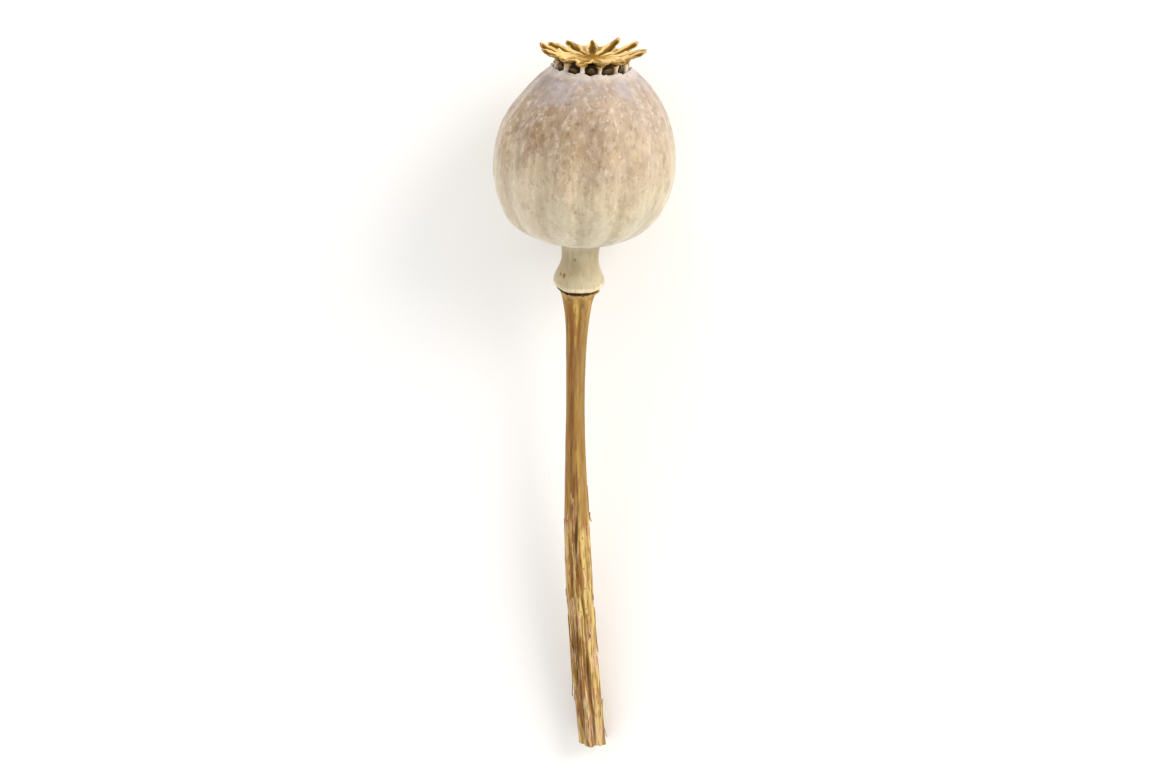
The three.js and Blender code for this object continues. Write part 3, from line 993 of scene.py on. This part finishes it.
def scar_points():
    """A crumbly ring: a turned groove with the stubs of fallen stamens around it."""
    low = STEM_LENGTH - 0.1 * MM
    high = NECK_Z + 0.05 * MM
    share = np.linspace(0, 1, SCAR_ROWS)
    groove = SCAR_RADIUS - SCAR_GROOVE * np.sin(np.pi * share) ** 0.7
    inward = np.linspace(0.1, 0.9, SCAR_CAP_ROWS)
    radius = stacked(inward * groove[0], groove, inward[::-1] * groove[-1])
    flat = np.zeros(SCAR_CAP_ROWS)
    height = stacked(flat + low, low + share * (high - low), flat + high)
    angle = around(SCAR_COLUMNS)
    plain = rings(radius, height, angle)
    stubs = 0.1 * MM * np.cos(SCAR_STUBS * angle + 2 * lumps(plain, 5 * MM, 41))
    stubs = stubs + 0.09 * MM * lumps(plain, 0.8 * MM, 42)
    stubs = stubs * smooth(radius, 3 * MM, 3.6 * MM)
    return rings(radius + stubs, height, angle)[None], {}


# Stem


def bent(points):
    """The stem's bow: it leaves the axis by a square law towards the cut end."""
    side = STEM_BEND * (1 - np.clip(points[..., 2] / STEM_LENGTH, 0, 1)) ** 2
    return points + np.stack([side, 0 * side, 0 * side], axis=-1)


def stem_radius(height):
    """Thin above and thick below, plus a trumpet and a thin lip that die away downwards."""
    thicker = smooth(1 - height / STEM_LENGTH, STEM_THIN_SHARE, STEM_THICK_SHARE)
    stalk = STEM_THIN_RADIUS + (STEM_CUT_RADIUS - STEM_THIN_RADIUS) * thicker
    flare = STEM_FLARE * np.exp((height - STEM_LENGTH) / STEM_FLARE_LENGTH)
    lip = STEM_LIP * np.exp((height - STEM_LENGTH) / STEM_LIP_LENGTH)
    return stalk + flare + lip


def stem_rough(points):
    """How rough the bark is: 0 near the seed head and 1 on the lower half, with a ragged border."""
    ragged = points[..., 2] + 5 * MM * lumps(points, 6 * MM, 51, stretch=3)
    return smooth(ragged, ROUGH_BELOW, ROUGH_BELOW - 16 * MM)


def stem_split(height, angle):
    """1 along the middle of the split between the lower half's two strands, which winds, opens and closes."""
    winding = SPLIT_ANGLE + 0.2 * np.sin(height / (10 * MM)) + 0.12 * np.sin(height / (4.1 * MM) + 1)
    width = 0.15 + 0.06 * np.sin(height / (5.3 * MM))
    parted = 0.6 + 0.4 * np.sin(height / (3.3 * MM)) * np.sin(height / (7.7 * MM) + 2)
    open_share = smooth(height, ROUGH_BELOW + 14 * MM, ROUGH_BELOW - 6 * MM)
    return bell(off_angle(angle, winding), 0, width) * parted * open_share


def stem_swell(points, angle):
    """How far the bark stands out, as a share of the radius: twisted ridges, fibres, flakes and the split."""
    height = points[..., 2]
    rough = stem_rough(points)
    twist = STEM_TWIST * height
    ridges = 0.035 * np.cos(5 * angle + twist + 0.8) + 0.02 * np.cos(9 * angle - twist + 2.1)
    straight = points * np.array([1, 1, 0.03])
    fibres = 0.014 * lumps(straight, 1.1 * MM, 52) + 0.008 * lumps(points, 1.2 * MM, 53, stretch=6)
    flakes = 0.03 * lumps(points, 2.6 * MM, 54, stretch=14) + 0.016 * lumps(points, 1.1 * MM, 55, stretch=9)
    return ridges * (1 + 0.5 * rough) + fibres + rough * flakes - SPLIT_DEPTH * stem_split(height, angle)


def stem_sides(height, angle):
    """Masks around the stem: a pinkish side, a greyish side, a dark stripe and the split."""
    stripe = smooth(off_angle(angle, STRIPE_ANGLE + 3 * (height - STEM_LENGTH)), 0.5, 0.1)
    stripe = stripe * smooth(height, STEM_LENGTH - 4 * MM, STEM_LENGTH - 16 * MM)
    pink = smooth(off_angle(angle, STRIPE_ANGLE - 1.3), 0.8, 0.2)
    grey = smooth(off_angle(angle, STRIPE_ANGLE + 1.0), 1.0, 0.3)
    return {"stripe": stripe, "pink": pink, "grey": grey, "split": stem_split(height, angle)}


def stem_points():
    """A tube that tapers and flares, with ridged bark and a bow. Its cut end is ragged, with a sunken
    pith."""
    angle = around(STEM_COLUMNS)
    share = np.linspace(0, 1, STEM_ROWS)
    side_height = STEM_LENGTH * (1 - (1 - share) ** 1.35)
    side_radius = stem_radius(side_height)
    inward = np.array([0.06, 0.2, 0.35, 0.5, 0.62, 0.72, 0.8, 0.88, 0.95])
    sunk = PITH_DEPTH * smooth(inward, 0.85, 0.6)
    top = inward[::-1][1:]
    radius = stacked(inward * side_radius[0], side_radius, top * side_radius[-1])
    height = stacked(sunk, side_height, 0 * top + STEM_LENGTH)
    plain = rings(radius, height, angle)
    swell = stem_swell(plain, angle)
    ragged = 0.12 * MM * lumps(plain, 1.1 * MM, 56) * smooth(height, 1.5 * MM, 0)
    points = rings(radius * (1 + swell), height + ragged, angle)
    cut = stacked(smooth(inward, 0.97, 0.8), 0 * share, 0 * top)
    masks = {"height": height / STEM_LENGTH, "rough": stem_rough(plain), "cut": cut}
    return bent(points)[None], masks | stem_sides(height, angle), points[None]


def strip_points():
    """Strips of bark that peel off the lower half: thin ribbons along the stem, lifted at their ends."""
    draw = np.random.default_rng(SEED + 1)
    one = (STRIPS, 1, 1)
    start = draw.uniform(1 * MM, ROUGH_BELOW - 8 * MM, one)
    length = draw.uniform(5 * MM, 19 * MM, one)
    side = draw.uniform(0, 2 * np.pi, one)
    drift = draw.uniform(-0.25, 0.25, one)
    half_width = draw.uniform(0.12 * MM, 0.34 * MM, one)
    lift_low = draw.uniform(0, 0.5 * MM, one)
    lift_high = draw.uniform(0, 0.9 * MM, one) * draw.integers(0, 2, one)
    share = np.linspace(0, 1, STRIP_ROWS)[None, :, None]
    turn = around(STRIP_COLUMNS)
    height = start + share * length
    bark_radius = stem_radius(height)
    width = half_width * np.sqrt(np.clip(1 - np.abs(2 * share - 1) ** 5, 0.01, 1))
    lift = lift_low * smooth(share, 0.25, 0) + lift_high * smooth(share, 0.7, 1)
    radius = bark_radius * 1.03 + lift + STRIP_HALF_THICKNESS * np.cos(turn)
    angle = side + drift * share + width * np.sin(turn) / bark_radius
    points = rings(radius, height, angle)
    points = points + rings(bark_radius * stem_swell(points, angle) * 0.8, 0 * height, angle)
    masks = {"height": height / STEM_LENGTH, "rough": 1.0, "cut": 0.0}
    return bent(points), masks | stem_sides(height, angle), points


def add_pieces():
    """Every piece: its name, finish, record slot, the CAD node that it stands for, and its shape."""
    bark = bark_finish()
    add_piece("stem_bark", bark, "stem_bark", "stem", *stem_points())
    add_piece("bark_strips", bark, "stem_bark", None, *strip_points())
    add_piece("petal_scar_ring", scar_finish(), "corky_scar", "petal_scar", *scar_points())
    add_piece("receptacle_neck", neck_finish(), "pale_neck", "receptacle", *neck_points())
    add_piece("capsule_wall", capsule_finish(), "capsule_skin", "capsule", *capsule_points())
    add_piece("pore_pillars", pillar_finish(), "capsule_skin", None, *pillar_points())
    add_piece("pore_valves", valve_finish(), "capsule_skin", None, *valve_points())
    add_piece("crown_rays", crown_finish(), "golden_crown", "stigma_crown", *crown_points())


# Floor, light and camera


def add_floor():
    """A flat pale floor under the part, whose colour is faintly uneven."""
    half = FLOOR_HALF
    mesh = bpy.data.meshes.new("floor")
    corners = [(-half, -half, 0), (half, -half, 0), (half, half, 0), (-half, half, 0)]
    mesh.from_pydata(corners, [], [(0, 1, 2, 3)])
    cover = Finish("pale_floor")
    cloud = cover.noise(cover.add("TexCoord").outputs["Object"], 6.0, 2.0)[0]
    cover.colour = cover.mixed((244, 243, 241), (247, 246, 245), cloud)
    mesh.materials.append(cover.closed(0.9, cloud, 0.01 * MM, specular=0.0))
    floor = bpy.data.objects.new("floor", mesh)
    bpy.context.scene.collection.objects.link(floor)


def add_area_light(name, place, target, size, energy, colour):
    data = bpy.data.lights.new(name, "AREA")
    data.shape = "DISK"
    data.size = size
    data.energy = energy
    data.color = colour
    light = bpy.data.objects.new(name, data)
    light.location = place
    light.rotation_euler = (target - place).to_track_quat("-Z", "Y").to_euler()
    bpy.context.scene.collection.objects.link(light)


def add_light():
    """A white surround, brightest at its edge, a light low on the right, and one from beyond the crown."""
    world = bpy.data.worlds.new("studio")
    world.use_nodes = True
    surround = Nodes(world.node_tree)
    direction = surround.add("TexCoord").outputs["Generated"]
    up = surround.add("SeparateXYZ", {0: direction}).outputs[2]
    background = surround.tree.nodes["Background"]
    background.inputs["Color"].default_value = (1.0, 0.99, 0.975, 1.0)
    strength = surround.ranged(up, 0, 1, EDGE_LIGHT, OVERHEAD_LIGHT)
    surround.tree.links.new(strength, background.inputs["Strength"])
    bpy.context.scene.world = world
    target = Vector((0, 0.03, 0.015))
    add_area_light("key", Vector((0.66, 0.46, 0.42)), target, 0.5, KEY_POWER, (1.0, 0.97, 0.93))
    add_area_light("back", Vector((-0.2, 0.9, 0.35)), target, 0.4, BACK_POWER, (0.97, 0.985, 1.0))


def add_camera():
    """The photograph's standpoint, with a pore in front. The aim and the lens fit the part in."""
    front = ACROSS * math.sin(VIEW_TURN) - UNDER * math.cos(VIEW_TURN)
    outward = front * math.cos(VIEW_ABOVE_BELLY) + AXIS * math.sin(VIEW_ABOVE_BELLY)
    eye = laid_down(np.array([0, 0, BELLY_Z])) + VIEW_DISTANCE * outward
    places = np.concatenate([node_triangles(name).reshape(-1, 3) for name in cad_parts])
    backwards = unit(eye - places.mean(axis=0))
    for _ in range(AIM_ROUNDS):
        side = unit(np.cross(AXIS, backwards))
        along = np.cross(backwards, side)
        right = side * math.cos(AXIS_LEAN) + along * math.sin(AXIS_LEAN)
        up = np.cross(backwards, right)
        seen = (places - eye) @ np.array([right, up, -backwards]).T
        spread = seen[:, :2] / seen[:, 2:]
        low, high = spread.min(axis=0), spread.max(axis=0)
        middle = (low + high) / 2
        backwards = unit(backwards - middle[0] * right - middle[1] * up)
    view_width = (high[1] - low[1]) / FRAME_FILL * IMAGE_SHAPE
    data = bpy.data.cameras.new("camera")
    data.lens = SENSOR / view_width
    data.sensor_width = SENSOR
    data.clip_start = 0.01
    camera = bpy.data.objects.new("camera", data)
    turn = Matrix(np.array([right, up, backwards]).T.tolist()).to_4x4()
    camera.matrix_world = Matrix.Translation(eye.tolist()) @ turn
    bpy.context.scene.collection.objects.link(camera)
    bpy.context.scene.camera = camera


add_camera()
add_pieces()
add_floor()
add_light()
bpy.context.scene.view_settings.view_transform = "Standard"
